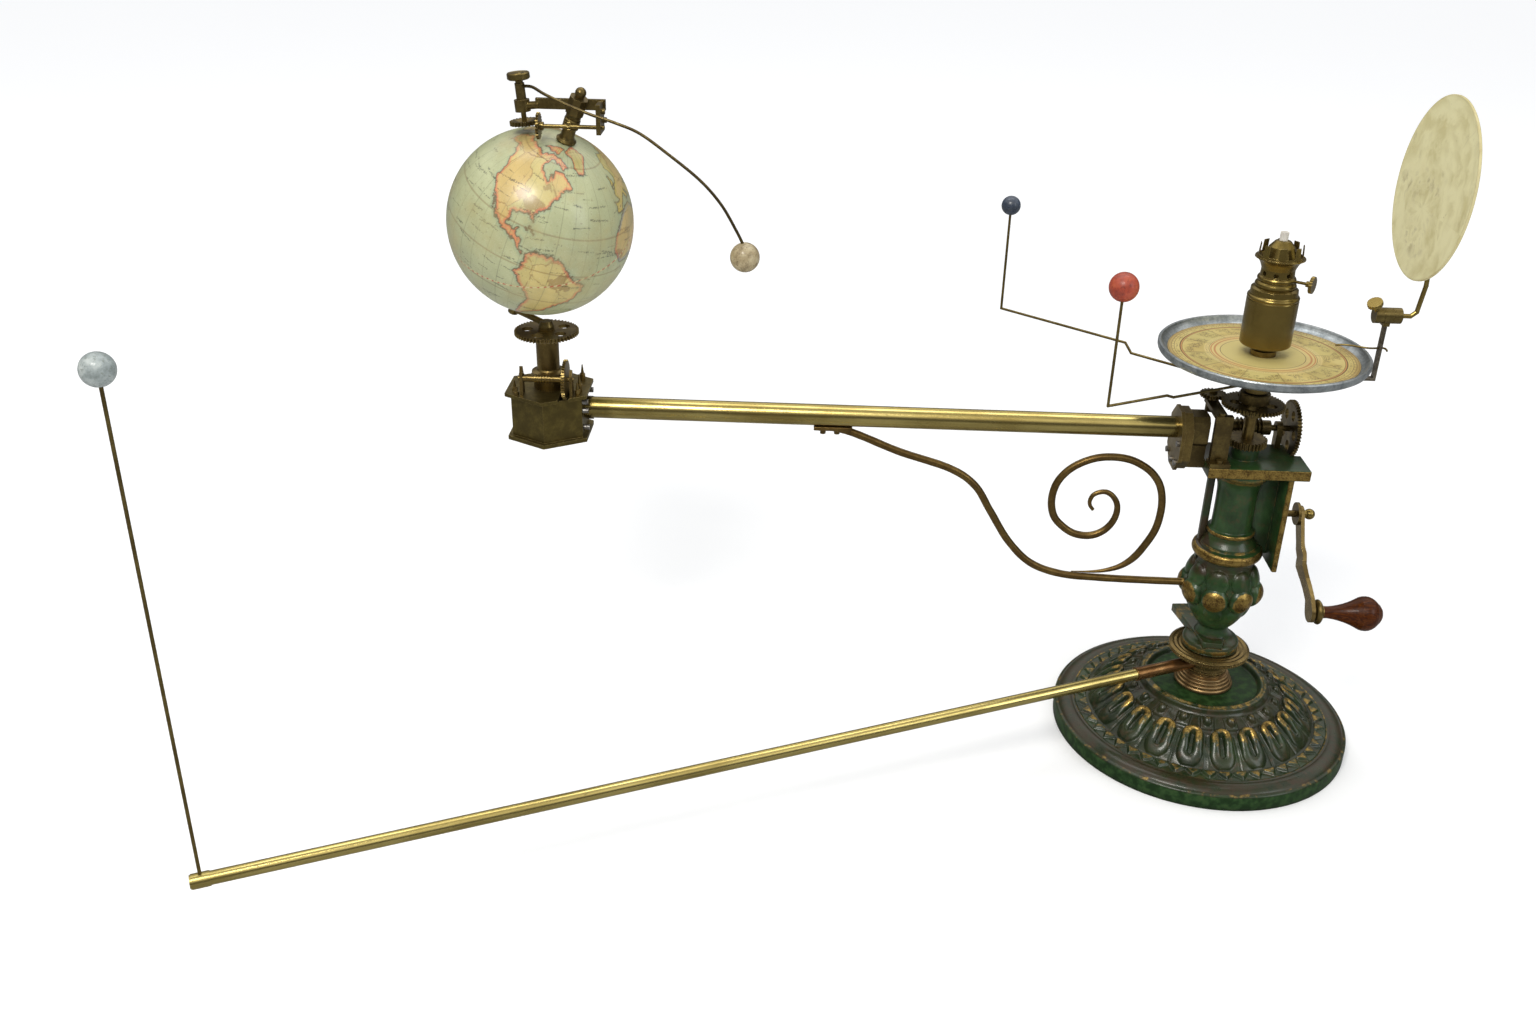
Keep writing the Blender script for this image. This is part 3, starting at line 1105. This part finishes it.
# ------------------------------------------------------------ finishes of the loaded pieces
# material, names of the pieces that wear it
FINISHES = [
    (cast_green, "column_casting"),
    (metals["hub_brass"], "hub_foot"),
    (metals["ring_brass"], "outer_hub crank_lever"),
    (metals["copper_tube"], "outer_socket"),
    (metals["tube_brass"], "crank_nut thumb_screw reflector_rod"),
    (metals["lamp_brass"], "lamp_font lamp_burner wick_key"),
    (metals["case_brass"], "gearbox_case gearbox_lid"),
    (metals["old_brass"], "spindle grip_ferrule crank_shaft flange_plates bracket_strut "
     "bracket_scroll lid_fittings turret_sleeve turret_wheel day_worm south_pinion"),
    (metals["dark_brass"], "arm_block sun_wheel fixed_gear idler_gear upper_wheel lower_wheel "
     "cross_shaft shaft_cocks shaft_bushes bearing_block"),
    (metals["wire_brass"], "outer_rod polar_axis moon_post moon_frame moon_wire moon_shaft "
     "moon_arbor venus_arm mercury_arm pointer_wire knuckle"),
    (long_tube("main_tube_brass", (0.56, 0.455, 0.165), (0.30, 0.225, 0.068), rough=0.19,
               ends=(-0.556, -0.062)), "main_tube"),
    (long_tube("outer_tube_brass", (0.60, 0.49, 0.18), (0.34, 0.26, 0.08), rough=0.20,
               turn=math.radians(156.2)), "outer_tube"),
    (steel("screw_steel"), "arm_screws"),
    (steel("bar_steel", (0.30, 0.26, 0.20), (0.07, 0.055, 0.04), rough=0.32,
           streak=(1, 1, 6)), "reflector_carrier"),
    (wick_weave(), "wick"),
    (zinc(), "dial_plate"),
    (card(), "dial_card"),
    (wood(), "grip_wood"),
    (cream_disc(), "reflector_disc"),
    (ball("ball_blue", ((0.018, 0.026, 0.042), (0.034, 0.048, 0.076), (0.065, 0.085, 0.12)),
          scale=90, rough=0.3), "venus_ball"),
    (ball("ball_red", ((0.17, 0.022, 0.009), (0.34, 0.046, 0.017), (0.42, 0.085, 0.034)),
          scale=90, rough=0.36, speck=((0.10, 0.012, 0.006), 0.5), coat=0.15), "mercury_ball"),
    (ball("ball_grey", ((0.16, 0.19, 0.185), (0.29, 0.33, 0.325), (0.46, 0.50, 0.48)),
          scale=110, rough=0.42, speck=((0.10, 0.115, 0.08), 0.45)), "outer_ball"),
    (ball("ball_moon", ((0.20, 0.15, 0.07), (0.33, 0.26, 0.14), (0.46, 0.39, 0.24)),
          scale=170, rough=0.5, speck=((0.09, 0.06, 0.03), 0.75)), "moon_ball"),
]
for material, pieces in FINISHES:
    for piece in pieces.split():
        slots = nodes[piece].data.materials
        slots.clear()
        slots.append(material)


# ------------------------------------------------------------ floor, world, lights, camera
def build_floor():
    """Near-white floor that glows to the camera, more with distance, and reflects darker."""
    m = Material("floor")
    glossy, camera = m.outputs("LightPath", {}, "Is Glossy Ray", "Is Camera Ray")
    mottle = m.noise(scale=3, detail=3, rough=0.5)
    color = m.mix(mottle * 0.3, (0.90, 0.90, 0.895), (0.87, 0.87, 0.865))
    far = m.radius(centre=(-0.3, 0.0)).rise(low=0.2, high=2.6)
    m.set(color=m.mix(glossy, color, (0.30, 0.30, 0.29)), rough=0.95, spec=0.0,
          glow_color=(1.0, 1.0, 1.0), glow=camera * m.mix_value(far, 0.10, 0.38))
    corners = [(x, y, 0) for x, y in rect(-30, 30, -30, 30)]
    new_object("floor", corners, [[0, 1, 2, 3]], m.data, smooth=False)


# brightness of the reflected surroundings: ramp position, value
SKY_STOPS = [(0.0, 0.10), (0.15, 0.06), (0.38, 0.20), (0.62, 1.25), (1.0, 0.5)]


def build_world():
    """Grey light for diffuse rays, a banded sky for reflections, near white to the camera."""
    world = bpy.data.worlds.new("studio")
    scene.world = world
    world.use_nodes = True
    graph = Graph(world.node_tree)
    glossy, camera = graph.outputs("LightPath", {}, "Is Glossy Ray", "Is Camera Ray")
    coords = graph.node("TexCoord", output="Generated")
    height = graph.node("SeparateXYZ", {0: coords}, "Z")
    sky = graph.ramp(height, [(at, (v, v * 0.98, v * 0.94)) for at, v in SKY_STOPS])
    color = graph.mix(glossy, (0.62, 0.63, 0.65), sky)
    color = graph.mix(camera, color, (0.97, 0.97, 0.97))
    background = world.node_tree.nodes["Background"]
    graph.feed(background.inputs["Color"], color)
    graph.feed(background.inputs["Strength"], 1.0)


def area(name, place, target, size, power, color=(1, 1, 1)):
    light = bpy.data.lights.new(name, "AREA")
    light.shape = "RECTANGLE"
    light.size, light.size_y = size
    light.energy = power
    light.color = color
    obj = bpy.data.objects.new(name, light)
    scene.collection.objects.link(obj)
    obj.location = place
    aim = Vector(target) - Vector(place)
    obj.rotation_euler = aim.to_track_quat("-Z", "Y").to_euler()


def build_camera():
    pitch, yaw, roll = math.radians(26.52), math.radians(1.82), math.radians(1.24)
    turn = Matrix.Rotation(yaw, 3, "Z")
    forward = turn @ Vector((0, math.cos(pitch), -math.sin(pitch)))
    level_right = turn @ Vector((1, 0, 0))
    level_up = level_right.cross(forward)
    right = level_right * math.cos(roll) + level_up * math.sin(roll)
    up = -level_right * math.sin(roll) + level_up * math.cos(roll)
    data = bpy.data.cameras.new("camera")
    data.lens = 33.466
    data.sensor_width = 36.0
    data.clip_start = 0.05
    data.clip_end = 100
    camera = bpy.data.objects.new("camera", data)
    scene.collection.objects.link(camera)
    pose = Matrix((right, up, -forward)).transposed().to_4x4()
    pose.translation = CAMERA_PLACE
    camera.matrix_world = pose
    scene.camera = camera


build_floor()
build_world()
area("key", place=(-0.9, -1.5, 2.1), target=(-0.2, 0, 0.3), size=(0.9, 0.6), power=30,
     color=(1.0, 0.97, 0.91))
area("fill", place=(1.6, -1.2, 1.2), target=(0, 0, 0.25), size=(0.7, 1.2), power=8,
     color=(0.92, 0.96, 1.0))
area("top", place=(-0.3, 0.5, 2.4), target=(-0.3, 0, 0.3), size=(2.0, 0.8), power=16)
build_camera()
scene.view_settings.view_transform = "Standard"

bpy.context.view_layer.update()
